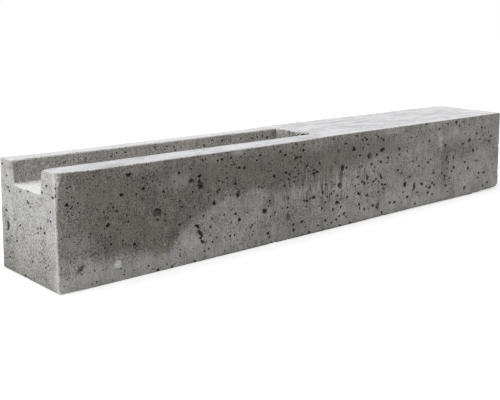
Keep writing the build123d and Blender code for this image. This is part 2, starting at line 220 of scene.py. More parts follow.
SLOT_WALL_PITS = [
    (-140, 145, 4.5, 3), (-161, 147.5, 3), (-100, 144.5, 4, 3), (-78.5, 143.5, 3), (-74, 142.5, 3),
    (-64.5, 143.5, 3.5), (-52.5, 144.5, 3.5, 3), (-42, 141, 4), (-178, 141, 4), (-250, 147, 3.5, 2.5),
    (-272, 148, 3), (-271, 144.5, 2.5), (-254, 143, 2.5), (-236.5, 144.5, 3), (-235, 139.5, 3),
    (-324.5, 145.5, 3.5, 2.5), (-339, 146.5, 3), (-349, 142.5, 3), (-347, 145.5, 2), (-410, 144, 2),
    (-423, 143.5, 2), (-432, 140.5, 2),
]

# Breaks in the edges, as balls: x, y, z and radius
BREAKS = [
    (slot_end_x + 1.0, -26.0, HEIGHT - 1.0, 6.5), (slot_end_x + 0.5, -14.0, HEIGHT - 2.0, 4.5),
    (slot_end_x + 1.0, -5.0, HEIGHT - 1.0, 5.5), (slot_end_x + 0.5, 6.0, HEIGHT, 3.5),
    (slot_end_x + 0.5, 17.0, HEIGHT, 5.0), (foot_top_x + 1.0, 14.0, HEIGHT + 8.0, 14.0),
    (foot_top_x + 2.0, 4.0, HEIGHT + 3.0, 9.5), (foot_top_x + 3.4, -72.5, 88.0, 3.6),
    (foot_top_x + 4.8, -73.0, 63.0, 2.8), (foot_top_x + 6.3, -73.5, 33.0, 3.2),
    (foot_top_x, -30.0, HEIGHT, 2.5),
]
# The same along the seen side's lower and upper edges: x and radius
LOWER_BREAKS = [(-130.0, 4.6), (-138.0, 3.4), (-245.0, 2.6), (131.0, 4.0), (414.0, 5.0)]
UPPER_BREAKS = [(head_top_x + 34.0, 2.5), (head_top_x + 76.0, 2.0)]
BREAKS += [(x, -HALF_BOTTOM, 0.0, radius) for x, radius in LOWER_BREAKS]
BREAKS += [(x, -HALF_TOP, HEIGHT, radius) for x, radius in UPPER_BREAKS]

# The same at the slot's mouth, where nothing is broken but the mesh is as fine
MOUTH_SPOTS = [
    (head_top_x + along, side * (HALF_SLOT + 4), HEIGHT - 3, 8.0) for along in (2, 16) for side in (-1, 1)
]

# The foot's lower corners are broken off: side and reach along the edges
CORNER_BREAKS = [(-1, 9.0), (1, 7.0)]

# Scattered pits on the faces that were not seen or show few: how many, smallest and largest width
SCATTERED = {
    "back": (190, 2.0, 9.0), "under": (90, 2.0, 7.0), "foot": (34, 2.0, 6.5), "top": (26, 1.8, 3.2),
    "floor": (18, 1.8, 3.2), "near_wall": (22, 2.0, 3.6), "end_wall": (4, 1.8, 2.6),
}
SCATTER_TRIES = 40  # at most, for each pit
PIT_SHARE = 0.8  # of them, and the rest are dents

# Patches of pinholes on the seen side: x, height, half length, half height and how many
PINHOLES = [
    (-466, 78, 34, 70, 56), (-478, 112, 12, 16, 14), (-364, 121, 24, 14, 30), (-420, 70, 60, 60, 26),
    (-330, 100, 60, 50, 26), (-200, 90, 70, 60, 50), (-80, 115, 70, 36, 50), (40, 90, 80, 60, 70),
    (180, 70, 80, 70, 70), (340, 70, 80, 70, 60), (-330, 12, 60, 12, 20),
]

PINHOLE_WIDTH = (1.0, 2.1)
PINHOLE_SPREAD = 0.5  # share of the half sizes within which most of them lie
PINHOLE_CLEAR = 2.0  # between them and the pits
EDGE_CLEAR = 4.0  # between them and the side's edges
FOOT_CLEAR = 12.0

# Lumps on the seen side: x, height, length, width and how pale
FRONT_LUMPS = [
    (-414, 23, 13, 9.5, 0.85), (-339, 22, 5, 4, 0.35), (-338, 36, 5, 4, 0.3),
]
LUMP_HEIGHT = 0.4

# Shape of the pits
PIT_DEPTH = 0.55  # share of the width
DENT_DEPTH = 0.16
DEEPEST_PIT = 6.5
PIT_LOBES = ((2, 0.1), (3, 0.12), (5, 0.08))  # how often the rim swings in and out, and how far
PIT_RINGS = (0.35, 0.65, 0.87, 1.0, 1.15)
SMALL_PIT_RINGS = (0.5, 1.0, 1.22)
ROUND_PIT = 34.0  # the product of its half sizes from which a pit is a clean bowl
ROUND_PIT_SWING = 0.25  # how much of its lobes that keeps
WIDE_PIT = (9.0, 14.0)  # the sum of its half sizes between which a pit turns from small to large
DENT_TONE = 0.65  # how dark the painted shade in a dent is

# Wear, in millimetres
WALL_TOP_FALL = 1.6
FALL_START = 60.0  # how far from the head end it is full
FALL_END = (-90, 10)  # x where it fades, and where it is gone
FALL_REACH = 40.0  # how far down it is felt
FOOT_RISE = 3.6
FOOT_RISE_LENGTH = 110.0
UNDER_WAVE = 1.8
UNDER_WAVE_FROM = (0, 150)  # x where it starts, and where it is full
HEAD_RISE = 1.3
HEAD_RISE_LENGTH = 50.0
WAVE = 0.3
WAVE_SIZE = 80
RIPPLE = 0.12
RIPPLE_SIZE = 15
RAGGED = 0.5
ARRIS_RAGGED = 2.2  # more on the near upright edge
ARRIS_ROUND = 4.2  # radius of its upper end
ARRIS_ROUND_FROM = 80  # the height where that starts
RIM_RAGGED = 0.7  # more on the slot's rim
CHIP = 3.0
CHIP_SIZE = 11
CHIP_FROM = 0.28  # the noise, from -1 to 1, above which it chips
CORNER_CUT = 0.9  # share of a broken corner that is gone

# Lower border of the damp zone on the seen side, from the head end on: x, height and strength
DAMP_BORDER = [
    (-500, 45, 0.4), (-475, 40, 0.6), (-440, 38, 0.9), (-400, 33, 1.0), (-370, 30, 1.0), (-352, 19, 1.0),
    (-336, 20, 1.0), (-320, 35, 1.0), (-305, 50, 1.0), (-290, 60, 1.0), (-270, 65, 1.0), (-240, 80, 1.0),
    (-215, 90, 1.0), (-165, 90, 1.0), (-130, 78, 1.0), (-60, 80, 0.95), (0, 82, 0.9), (25, 90, 0.8),
    (60, 103, 0.75), (95, 105, 0.65), (140, 112, 0.45), (200, 122, 0.3), (280, 140, 0.15), (500, 150, 0.1),
]
DAMP_SOFTNESS = 12.0
DAMP_WANDER = 6.0
ARRIS_PALE = 0.7  # paleness of the rounded end of the near upright edge: wear, and painted light that makes it as bright as the lit head end

# Soft patches on the seen side: x, height, half length, half height, strength and any tilt
BRUSHED = [(-18, 76, 125, 38, 1.0)]  # up and down
DARK_PATCHES = [
    (-471, 26, 10, 5, 0.8, 40), (-78, 30, 52, 34, 0.4), (242, 120, 32, 9, 0.25), (-3, 80, 2.2, 75, 0.35),
    (17, 97, 2, 9, 0.5), (-123, 22, 2, 22, 0.35), (113, 122, 32, 16, 0.5), (80, 60, 4, 24, 0.3),
    (168, 116, 36, 8, 0.6), (196, 144, 18, 6, 0.55), (310, 62, 15, 58, 0.45), (322, 90, 50, 22, 0.32),
    (376, 98, 45, 22, 0.4), (369, 76, 16, 14, 0.3), (456, 98, 34, 13, 0.4), (471, 130, 30, 8, 0.3),
]
PALE_PATCHES = [
    (-180, 52, 30, 26, 0.45), (-318, 120, 36, 13, 0.45), (-468, 60, 22, 15, 0.35),
    (-225, 78, 26, 20, 0.3), (28, 82, 34, 18, 0.3), (312, 120, 28, 12, 0.35), (308, 20, 34, 14, 0.35),
    (450, 60, 30, 20, 0.25), (-35, 142, 34, 12, 0.35), (-293, 34, 20, 15, 0.7, -35),
    (-389, 12, 110, 16, 0.4), (-466, 20, 16, 22, 0.3), (-250, 70, 22, 10, 0.3, 20),
    (-202, 149, 12, 5, 0.8), (-91, 78, 3, 20, 0.6), (-75, 74, 2.5, 16, 0.5), (-63, 76, 3, 18, 0.6),
    (-35, 79, 4, 20, 0.6), (-20, 82, 2.5, 16, 0.5), (8, 84, 3, 16, 0.5), (148, 147, 32, 6, 0.6),
    (35, 62, 36, 22, 0.4), (173, 28, 42, 30, 0.4), (237, 26, 45, 28, 0.45), (381, 38, 42, 40, 0.45),
    (262, 147, 13, 6, 0.6), (294, 118, 9, 20, 0.8, 10), (342, 130, 12, 8, 0.7), (394, 120, 20, 12, 0.3),
    (426, 60, 26, 40, 0.35), (466, 40, 22, 26, 0.35),
]

# Soft patches on the slot's end: y, height, half width, half height and strength
END_SHADES = [(-24, 149, 16, 4, 1.6), (-18, 138, 28, 10, 1.0), (-2, 142, 14, 7, 0.5)]
# Darker flecks on its rim: y, half width and strength
END_RIM_DARKENING = [(-26, 13, 1.0), (-4, 5, 0.7), (10, 3, 0.5), (24, 3, 0.4)]

# Darkening of the head end by height, and grime on the faces as a whole: 1 is the tone of the long sides
HEAD_DARKENING = [(0, 1.25), (17, 1.0), (45, 0.5), (75, 0.15), (105, 0.0), (154, 0.0)]
FACE_GRIME = {
    "front": 1.0, "back": 1.0, "foot": 0.7, "under": 0.8,
    "near_wall": 0.6, "far_wall": 0.3, "end_wall": 0.85, "floor": 0.0, "top": 0.0,
}

SEED = 7
rng = random.Random(SEED)


def fade(value, low, high):
    """0 below low, 1 above high, and smooth between."""
    share = np.clip((value - low) / (high - low), 0, 1)
    return share * share * (3 - 2 * share)


def cage_corners():
    """The sharp-edged casting's corners: b for the underside, t the top, r the rim, f the slot's floor."""
    head_floor_x = -HALF_LENGTH + HEAD_LEAN * slot_floor_z / HEIGHT
    rings = {
        "b": (-HALF_LENGTH, HALF_LENGTH, HALF_BOTTOM, 0),
        "t": (head_top_x, foot_top_x, HALF_TOP, HEIGHT),
        "r": (head_top_x, slot_end_x, HALF_SLOT, HEIGHT),
        "f": (head_floor_x, slot_end_x - SLOT_END_LEAN, HALF_SLOT - SLOT_WALL_LEAN, slot_floor_z),
    }
    corners = {}
    for name, (head_x, foot_x, half, z) in rings.items():
        corners[name + "0"] = Vector((head_x, -half, z))
        corners[name + "1"] = Vector((foot_x, -half, z))
        corners[name + "2"] = Vector((foot_x, half, z))
        corners[name + "3"] = Vector((head_x, half, z))
    return corners


FACES = {
    "under": "b0 b3 b2 b1",
    "front": "b0 b1 t1 t0",
    "back": "b2 b3 t3 t2",
    "foot": "b1 b2 t2 t1",
    "head": "b3 b0 t0 r0 f0 f3 r3 t3",
    "top": "t0 t1 t2 t3 r3 r2 r1 r0",
    "floor": "f0 f1 f2 f3",
    "near_wall": "r0 r1 f1 f0",
    "far_wall": "r3 f3 f2 r2",
    "end_wall": "r1 r2 f2 f1",
}


class Face:
    """A flat face of the casting: a point on it, the directions right and up it, and the way out."""

    def __init__(self, name, corners):
        self.name = name
        self.corners = corners
        out = Vector((0, 0, 0))
        for here, there in zip(corners, corners[1:] + corners[:1]):
            out += here.cross(there)
        self.out = out.normalized()
        rough_up = Vector((0, 0, 1))
        if abs(self.out.z) >= 0.9:
            rough_up = Vector((0, math.copysign(1, self.out.z), 0))
        self.up = (rough_up - self.out * rough_up.dot(self.out)).normalized()
        self.right = self.up.cross(self.out)
        self.origin = corners[0]

    def holds(self, verts):
        """Whether points all lie in the face's plane."""
        return all(abs((vert.co - self.origin).dot(self.out)) < 0.01 for vert in verts)

    def point(self, flat):
        return self.origin + self.right * flat[0] + self.up * flat[1]

    def flat(self, point):
        offset = point - self.origin
        return offset.dot(self.right), offset.dot(self.up)

    def place(self, along, up):
        """Flat coordinates of a reading: x or y along the face, and z or y up it."""
        across = 0 if abs(self.right.x) > 0.5 else 1
        upward = 2 if abs(self.up.z) > 0.5 else 1
        return (
            (along - self.origin[across]) / self.right[across],
            (up - self.origin[upward]) / self.up[upward],
        )


class Pit:
    """A hole or dent in a face: a rough ellipse that sinks below it."""

    def __init__(self, face, flat, length, width, tilt, depth):
        self.face = face
        self.flat = flat
        self.half_length = length / 2
        self.half_width = width / 2
        self.turn = (math.cos(math.radians(tilt)), math.sin(math.radians(tilt)))
        self.depth = min(DEEPEST_PIT, depth * min(length, width)) * rng.uniform(0.85, 1.15)
        self.dent = depth <= DENT_DEPTH
        self.paleness = 0
        self.phases = [rng.uniform(0, 2 * math.pi) for _ in PIT_LOBES]

    def rim(self, angle):
        """How far out the rim lies at an angle, where a plain ellipse has 1."""
        lobes = zip(PIT_LOBES, self.phases)
        swing = sum(size * math.sin(count * angle + phase) for (count, size), phase in lobes)
        return 1 + (ROUND_PIT_SWING if self.half_length * self.half_width > ROUND_PIT else 1) * swing

    def painted_shade(self, flat, share):
        """How dark the painted shade at a point is: small holes are shaded dark all over, large ones round
        their side and on top, under the rim.
        """
        wide = fade(self.half_length + self.half_width, *WIDE_PIT)
        height = (flat[1] - self.flat[1]) / self.half_width
        tone = (1 - wide) + wide * (0.15 + 1.2 * max(0, height) + 0.35 * share**2)
        return (DENT_TONE if self.dent else min(1, tone)) * (1 - 0.35 * share**4)

    def ring_points(self):
        """Flat points for the mesh: the middle, and rings that follow the rim."""
        size = self.half_width + self.half_length
        small = size < SMALL_PIT
        fewest, most = PIT_POINTS
        count = SMALL_PIT_POINTS if small else min(most, max(fewest, round(1.4 * size)))
        points = [self.flat]
        for share in SMALL_PIT_RINGS if small else PIT_RINGS:
            for number in range(count):
                angle = 2 * math.pi * (number + 0.5 * (share < 1)) / count
                reach = share * self.rim(angle)
                a = reach * self.half_length * math.cos(angle)
                b = reach * self.half_width * math.sin(angle)
                cos, sin = self.turn
                points.append((self.flat[0] + a * cos - b * sin, self.flat[1] + a * sin + b * cos))
        return points

    def share(self, flat):
        """How far out a flat point lies: 0 in the middle, 1 on the rim."""
        s, t = flat[0] - self.flat[0], flat[1] - self.flat[1]
        cos, sin = self.turn
        a = (s * cos + t * sin) / self.half_length
        b = (t * cos - s * sin) / self.half_width
        return math.hypot(a, b) / self.rim(math.atan2(b, a))


def read_pits(face, readings, depth):
    """Pits from readings in the photograph's frame."""
    pits = []
    for along, up, length, *rest in readings:
        width = rest[0] if rest else length
        tilt = rest[1] if len(rest) > 1 else 0
        flat = face.place(READ_SCALE[face.name] * (along - READ_SHIFT[face.name]), READ_HEIGHT * up)
        growth = READ_GROWTH.get(face.name, 1) if length < READ_SMALL else 1
        pits.append(Pit(face, flat, growth * length, growth * width, tilt, depth))
    return pits


def pinholes(face, patch, taken):
    """Small holes at seeded places in a patch of a face, clear of the pits that it has."""
    middle_x, middle_z, half_x, half_z, count = patch
    crowd = [pit for pit in taken if pit.face is face]
    holes = []
    for _ in range(count):
        x = middle_x + half_x * rng.gauss(0, PINHOLE_SPREAD)
        z = middle_z + half_z * rng.gauss(0, PINHOLE_SPREAD)
        width = rng.uniform(*PINHOLE_WIDTH)
        length = width * rng.uniform(1, 1.6)
        tilt = rng.uniform(-90, 90)
        along_it = EDGE_CLEAR < x + HALF_LENGTH < LENGTH - FOOT_CLEAR
        if not (along_it and EDGE_CLEAR < z < HEIGHT - EDGE_CLEAR):
            continue
        flat = face.place(x, z)
        if all(math.dist(flat, pit.flat) > pit.half_length + PINHOLE_CLEAR for pit in crowd):
            holes.append(Pit(face, flat, length, width, tilt, PIT_DEPTH))
    return holes


def lumps(face, readings):
    """Flat lumps of cement that stand a little proud of a face and look pale."""
    found = []
    for along, up, length, width, paleness in readings:
        lump = Pit(face, face.place(along, up), length, width, 0, PIT_DEPTH)
        lump.depth = -LUMP_HEIGHT
        lump.paleness = paleness
        found.append(lump)
    return found


def scattered_pits(face, amount):
    """Pits at seeded places on a face, small ones most often, clear of each other and of the face's edges."""
    count, smallest, largest = amount
    loop = np.array([face.flat(corner) for corner in face.corners])
    low, high = loop.min(axis=0), loop.max(axis=0)
    pits = []
    for _ in range(SCATTER_TRIES * count):
        if len(pits) == count:
            break
        width = smallest + (largest - smallest) * rng.random() ** 3
        flat = (rng.uniform(low[0], high[0]), rng.uniform(low[1], high[1]))
        here = np.array([flat])
        if not inside(here, loop)[0] or edge_distance(here, loop)[0] < 0.7 * width + 2.5:
            continue
        if any(math.dist(flat, other.flat) < 0.8 * (width + 2 * other.half_length) for other in pits):
            continue
        length = width * rng.uniform(1, 1.7)
        depth = PIT_DEPTH if rng.random() < PIT_SHARE else DENT_DEPTH
        pits.append(Pit(face, flat, length, width, rng.uniform(-90, 90), depth))
    return pits


def inside(points, loop):
    """Which flat points lie inside a closed outline."""
    result = np.zeros(len(points), bool)
    x, y = points[:, 0], points[:, 1]
    for (x0, y0), (x1, y1) in zip(loop, np.roll(loop, -1, axis=0)):
        if y0 == y1:
            continue
        crosses = (y0 > y) != (y1 > y)
        result ^= crosses & (x < (x1 - x0) * (y - y0) / (y1 - y0) + x0)
    return result


def edge_distance(points, loop):
    """Distance of flat points from a closed outline."""
    nearest = np.full(len(points), 1e9)
    for start, end in zip(loop, np.roll(loop, -1, axis=0)):
        run = end - start
        along = ((points - start) @ run) / max(run @ run, 1e-12)
        foot = start + np.clip(along, 0, 1)[:, None] * run
        nearest = np.minimum(nearest, np.hypot(*(points - foot).T))
    return nearest


def placed(name, data):
    """A new object in the scene."""
    thing = bpy.data.objects.new(name, data)
    bpy.context.scene.collection.objects.link(thing)
    return thing


def edge_radius(a, b):
    """Radius of the edge between two named corners."""
    kinds = a[0] + b[0]
    if "b" in kinds and "t" not in kinds:
        return TROWEL_EDGE
    if kinds == "rr":
        return SLOT_RIM
    if kinds in ("rf", "fr") and a[1] in "12":
        return SLOT_END_CORNER
    if kinds == "ff" and {a[1], b[1]} == {"0", "3"}:
        return MOULD_EDGE
    if "f" in kinds and ("1" in a + b or "2" in a + b):
        return SLOT_CORNER
    return MOULD_EDGE


def rounded_cage(corners):
    """The casting with rounded edges, as a mesh whose ten flat faces are still single polygons."""
    names = list(corners)
    mesh = bpy.data.meshes.new("cage")
    polygons = [[names.index(name) for name in text.split()] for text in FACES.values()]
    mesh.from_pydata([corners[name] for name in names], [], polygons)
    weights = mesh.attributes.new("bevel_weight_edge", "FLOAT", "EDGE")
    widest = max(MOULD_EDGE, TROWEL_EDGE, SLOT_RIM, SLOT_CORNER, SLOT_END_CORNER)
    for edge in mesh.edges:
        a, b = (names[number] for number in edge.vertices)
        weights.data[edge.index].value = edge_radius(a, b) / widest
    cage = placed("cage", mesh)
    bevel = cage.modifiers.new("edges", "BEVEL")
    bevel.limit_method = "WEIGHT"
    bevel.offset_type = "OFFSET"
    bevel.width = widest
    bevel.segments = EDGE_STEPS
    bevel.use_clamp_overlap = False
    bpy.context.view_layer.update()
    ready = cage.evaluated_get(bpy.context.evaluated_depsgraph_get())
    bm = bmesh.new()
    bm.from_mesh(ready.to_mesh())
    bpy.data.objects.remove(cage)
    bpy.data.meshes.remove(mesh)
    return bm


def opened(bm, faces):
    """Takes out the flat faces and leaves the rounded edges between them."""
    flat = []
    for face in faces.values():
        alike = [f for f in bm.faces if f.normal.dot(face.out) > 0.9995 and face.holds(f.verts)]
        flat.append(max(alike, key=lambda f: f.calc_area()))
    bmesh.ops.delete(bm, geom=flat, context="FACES_ONLY")


def laddered(bm):
    """Divides the rounded edges along their length. Both sides of a strip get the same number of cuts."""
    for axis, lengths in EDGE_LENGTHS:
        for length in lengths:
            edges = []
            for edge in bm.edges:
                run = edge.verts[1].co - edge.verts[0].co
                span = abs(run[axis])
                if 0.72 * length < span < 1.2 * length and span > 0.9 * run.length:
                    edges.append(edge)
            cuts = round(length / EDGE_SPACING) - 1
            bmesh.ops.subdivide_edges(bm, edges=edges, cuts=cuts, use_grid_fill=True)


def open_loops(bm):
    """The closed rows of points round each missing face, in the mesh's own order, the same in each run."""
    edges = dict.fromkeys(edge for edge in bm.edges if edge.is_boundary)
    loops = []
    while edges:
        edge = next(iter(edges))
        del edges[edge]
        start, here = edge.verts
        loop = [start, here]
        while here is not start:
            edge = next(e for e in here.link_edges if e in edges)
            del edges[edge]
            here = edge.other_vert(here)
            if here is not start:
                loop.append(here)
        loops.append(loop)
    return loops


def stray():
    """How far a point strays from its grid this time."""
    return rng.uniform(-STRAY, STRAY)


def fine_spots(face, loop):
    """Closely set flat points round the breaks and the slot's mouth, where they reach a face."""
    spots = []
    for *middle, radius in [*BREAKS, *MOUTH_SPOTS]:
        off = (Vector(middle) - face.origin).dot(face.out)
        if abs(off) >= radius:
            continue
        centre = face.flat(Vector(middle))
        steps = math.ceil(BREAK_REACH * radius / BREAK_SPACING)
        for row in range(-steps, steps + 1):
            for column in range(-steps, steps + 1):
                across = (column + 0.5 * (row % 2) + stray()) * BREAK_SPACING
                upward = (row + stray()) * BREAK_SPACING * BREAK_ROW
                if math.hypot(across, upward) < BREAK_REACH * radius:
                    spots.append((centre[0] + across, centre[1] + upward))
    if not spots:
        return spots
    spots = np.array(spots)
    spots = spots[inside(spots, loop)]
    return list(spots[edge_distance(spots, loop) > 0.5 * BREAK_SPACING])


def face_grid(face, loop, pits):
    """Flat points inside an outline: a loose grid, left open where the pits are, and the pits' own points."""
    low, high = loop.min(axis=0), loop.max(axis=0)
    spacing = SEEN_SPACING if face.name == "front" else FACE_SPACING
    row_height = spacing * math.sqrt(3) / 2
    grid = []
    for row in range(int((high[1] - low[1]) / row_height) + 1):
        for column in range(int((high[0] - low[0]) / spacing) + 1):
            x = low[0] + (column + 0.5 * (row % 2) + stray()) * spacing
            y = low[1] + (row + 0.5 + stray()) * row_height
            grid.append((x, y))
    grid = np.array(grid)
    grid = grid[inside(grid, loop)]
    grid = grid[edge_distance(grid, loop) > OUTLINE_CLEAR * spacing]
    clear = []
    for p in grid:
        if all(abs(p[0] - pit.flat[0]) > PIT_REACH or pit.share(p) > PIT_CLEAR for pit in pits):
            clear.append(p)
    clear.extend(fine_spots(face, loop))
    rings = [point for pit in pits for point in pit.ring_points()]
    if rings:
        rings = np.array(rings)
        rings = rings[inside(rings, loop)]
        rings = rings[edge_distance(rings, loop) > RING_CLEAR]
        clear.extend(rings)
    return clear


def filled(bm, verts, face, pits):
    """Fills an outline with triangles that are fine at the pits and coarse between them."""
    loop = np.array([face.flat(vert.co) for vert in verts])
    points = [Vector(p) for p in loop] + [Vector(p) for p in face_grid(face, loop, pits)]
    outline = list(range(len(loop)))
    flats, _, triangles, origins, _, _ = delaunay_2d_cdt(points, [], [outline], 1, 1e-5)
    made = []
    for flat, sources in zip(flats, origins):
        rim = [number for number in sources if number < len(loop)]
        made.append(verts[rim[0]] if rim else bm.verts.new(face.point(flat)))
    for triangle in triangles:
        corners = [made[number] for number in triangle]
        if len(set(corners)) == 3:
            bm.faces.new(corners)


def casting_mesh(faces, pits):
    """The whole surface before it is worn."""
    bm = rounded_cage(cage_corners())
    opened(bm, faces)
    laddered(bm)
    for verts in open_loops(bm):
        for face in faces.values():
            if face.holds(verts):
                filled(bm, verts, face, [pit for pit in pits if pit.face is face])
                break
    bmesh.ops.triangulate(bm, faces=bm.faces[:])
    bmesh.ops.recalc_face_normals(bm, faces=bm.faces[:])
    bm.normal_update()
    return bm


def noise_at(points, scale, offset=0.0):
    """Smooth noise from -1 to 1 at points. Scale is the size of its features, and offset picks a pattern."""
    shift = Vector((offset, 1.7 * offset, -offset))
    return np.array([noise.noise(Vector(p) / scale + shift) for p in points])


def sunk(co, out, pits):
    """Lets the pits sink into the surface. Returns the painted shade in the pits at each point, and where the
    lumps are.
    """
    tree = kdtree.KDTree(len(co))
    for number, point in enumerate(co):
        tree.insert(point, number)
    tree.balance()
    depth = np.zeros(len(co))
    pit_shade = np.zeros(len(co))
    raised = np.zeros(len(co))
    way = np.zeros_like(co)
    for pit in pits:
        middle = pit.face.point(pit.flat)
        outward = np.array(pit.face.out)
        for point, number, _ in tree.find_range(middle, 1.4 * max(pit.half_length, pit.half_width) + 1):
            facing = out[number] @ outward
            if facing < 0.3:
                continue
            flat = pit.face.flat(point)
            share = pit.share(flat)
            if share > 1.03:
                continue
            sink = pit.depth * math.sqrt(max(0, 1 - share * share)) * min(1, 1.3 * facing)
            if pit.depth < 0:
                raised[number] = pit.paleness * (1 - 0.5 * min(share, 1))
            else:
                pit_shade[number] = max(pit_shade[number], pit.painted_shade(flat, share))
            if abs(sink) > abs(depth[number]):
                depth[number] = sink
                way[number] = outward
    co -= depth[:, None] * way
    return pit_shade, raised


def rounded_off(a, b, radius, where=True):
    """Which points stick out of a rounded corner, and how far to move them back along its two sides."""
    reach = np.hypot(a, b)
    over = (a > 0) & (b > 0) & (reach > radius) & where
    share = np.where(over, radius / np.maximum(reach, 1e-6), 1)
    return over, np.where(over, a * (1 - share), 0), np.where(over, b * (1 - share), 0)


def mouth_rounded(co):
    """Rounds the slot's rims off at its open end, more than along its length."""
    x, y, z = co.T
    past = np.abs(y) - HALF_SLOT
    widest = np.where(y < 0, MOUTH_RIM["near"], MOUTH_RIM["far"])
    radius = np.maximum(widest * (1 - fade(x, head_top_x - 4, head_top_x + MOUTH_REACH)), 0.1)
    on_rim = (past < widest) & (past > -3)
    _, outward, down = rounded_off(radius - past, radius - (HEIGHT - z), radius, on_rim)
    co[:, 1] += np.sign(y) * outward
    co[:, 2] -= down


def arris_rounded(co):
    """Rounds the upper end of the near upright edge off. Returns how much of this each point shows."""
    x, y, z = co.T
    up = fade(z, ARRIS_ROUND_FROM, HEIGHT - 10)
    radius = np.maximum(ARRIS_ROUND * up, 0.1)
    in_head = x + HALF_LENGTH - HEAD_LEAN * z / HEIGHT
    in_side = y + (WIDTH_BOTTOM - (WIDTH_BOTTOM - WIDTH_TOP) * z / HEIGHT) / 2
    over, along, across = rounded_off(radius - in_head, radius - in_side, radius)
    co[:, 0] += along
    co[:, 1] += across
    return np.where(over, up, 0)


def dots(a, b):
    """The dot product of each pair of rows."""
    return np.einsum("ij,ij->i", a, b)


def bitten(co, out):
    """Knocks the breaks out of the edges. Returns how deep each point went."""
    gone = np.zeros(len(co))
    for *middle, radius in BREAKS:
        rel = co - np.array(middle)
        near = dots(rel, rel) < 1.5 * radius * radius
        inward = -out[near]
        uneven = radius * (0.85 + 0.5 * noise_at(co[near], 3.5, radius))
        along = dots(rel[near], inward)
        left = uneven * uneven - dots(rel[near], rel[near])
        push = np.where(left > 0, 0.8 * (-along + np.sqrt(along * along + np.maximum(left, 0))), 0)
        co[near] += push[:, None] * inward
        gone[near] = np.maximum(gone[near], push)
    for side, reach in CORNER_BREAKS:
        corner = np.array([HALF_LENGTH, side * HALF_BOTTOM, 0])
        outward = np.array([1, side, -1]) / math.sqrt(3)
        past = (co - corner) @ outward + reach / math.sqrt(3)
        past = np.where(past > 0, past, 0) * CORNER_CUT
        co -= past[:, None] * outward
        gone = np.maximum(gone, past)
    return gone


def worn_surface(co, out, edge):
    """The casting's own unevenness: slumped wall tops, a raised foot, soft waves and ragged edges."""
    x, y, z = co.T.copy()
    fall = WALL_TOP_FALL * (1 - fade(x, *FALL_END)) * fade(x, head_top_x - 4, head_top_x + FALL_START)
    outer = np.clip((np.abs(y) - HALF_SLOT) / (HALF_TOP - HALF_SLOT), 0, 1)
    co[:, 2] -= fall * outer * np.clip((z - HEIGHT + FALL_REACH) / FALL_REACH, 0, 1)
    rise = FOOT_RISE * fade(x, HALF_LENGTH - FOOT_RISE_LENGTH, HALF_LENGTH + 20)
    rise += UNDER_WAVE * fade(x, *UNDER_WAVE_FROM) * (0.5 + 0.5 * noise_at(co * np.array((1, 0, 0)), 38, 2.9))
    rise += HEAD_RISE * (1 - fade(x, -HALF_LENGTH, HEAD_RISE_LENGTH - HALF_LENGTH))
    co[:, 2] += rise * np.clip(1 - z / FALL_REACH, 0, 1)
    waves = 0.5 + 0.5 * noise_at(co, WAVE_SIZE)
    ripples = 0.5 + 0.5 * noise_at(co, RIPPLE_SIZE, 3.1)
    ragged = np.abs(noise_at(co, 6, 8.3)) + np.abs(noise_at(co, 2.6, 5.9))
    chips = np.clip(noise_at(co, CHIP_SIZE, 12.7) - CHIP_FROM, 0, 1)
    arris = ARRIS_RAGGED * (x < head_top_x + 3) * (y < -HALF_TOP + 2)
    arris += RIM_RAGGED * (z > HEIGHT - 3) * (np.abs(y) < HALF_SLOT + 3)
    inward = WAVE * waves + RIPPLE * ripples + edge * ((RAGGED + arris) * ragged + CHIP * chips)
    co -= inward[:, None] * out


def post_piece(faces, pits):
    """The finished casting as one object, with what the material needs to know at each point."""
    bm = casting_mesh(faces, pits)
    bm.verts.index_update()
    co = np.array([vert.co for vert in bm.verts])
    out = np.array([vert.normal for vert in bm.verts])
    facing = np.max(np.abs(np.array([out @ np.array(face.out) for face in faces.values()])), axis=0)
    x, y, z = co.T
    in_slot = (np.abs(y) < HALF_SLOT - 0.5) & (z < HEIGHT - 7)
    in_slot &= (x < slot_end_x - 0.5) & (x > head_top_x + 3)
    edge = np.where(in_slot, 0, fade(1 - facing, 0.0, 0.06))
    rest = co.copy()
    pit_shade, raised = sunk(co, out, pits)
    mouth_rounded(co)
    rounded = arris_rounded(co)
    gone = bitten(co, out)
    worn_surface(co, out, edge)
    low, high = np.array(cad_low) / MM, np.array(cad_high) / MM
    co = np.clip(co, low + BOX_MARGIN, high - BOX_MARGIN)
    for vert, point in zip(bm.verts, co):
        vert.co = Vector(point) * MM
    mesh = bpy.data.meshes.new("post_casting")
    bm.to_mesh(mesh)
    bm.free()
    mesh.shade_smooth()
    mesh.set_sharp_from_angle(angle=math.radians(SHARP_ANGLE))
    marks = stains_and_painted_light(rest, out, faces)
    # the lumps' paleness, and on the rounded upright edge worn paleness with painted light
    marks["bleach_and_highlight"] = np.maximum(marks["bleach_and_highlight"], np.maximum(raised, ARRIS_PALE * rounded))
    values = {
        # painted shade in the pits and dents, and the darker flecks on the slot end's rim
        "pit": np.maximum(pit_shade, marks.pop("rim_darkening")),
        "broken": np.clip(gone / 2, 0, 1),
        "worn": edge,
        **marks,
    }
    for name, amounts in values.items():
        mesh.attributes.new(name, "FLOAT", "POINT").data.foreach_set("value", amounts.astype(np.float32))
    return placed("post_casting", mesh)


def patches(x, z, rows):
    """Sum of soft ellipses at points."""
    total = np.zeros(len(x))
    for middle_x, middle_z, half_x, half_z, strength, *tilt in rows:
        angle = math.radians(sum(tilt))
        cos, sin = math.cos(angle), math.sin(angle)
        a = ((x - middle_x) * cos + (z - middle_z) * sin) / half_x
        b = ((z - middle_z) * cos - (x - middle_x) * sin) / half_z
        total += strength * (1 - fade(np.hypot(a, b), 0.3, 1.4))
    return total


def belonging(co, out, face):
    """How much points belong to a face, from 0 to 1: they lie near its plane and face its way."""
    distance = np.abs((co - np.array(face.origin)) @ np.array(face.out))
    return fade(out @ np.array(face.out), 0.55, 0.8) * (distance < 12)


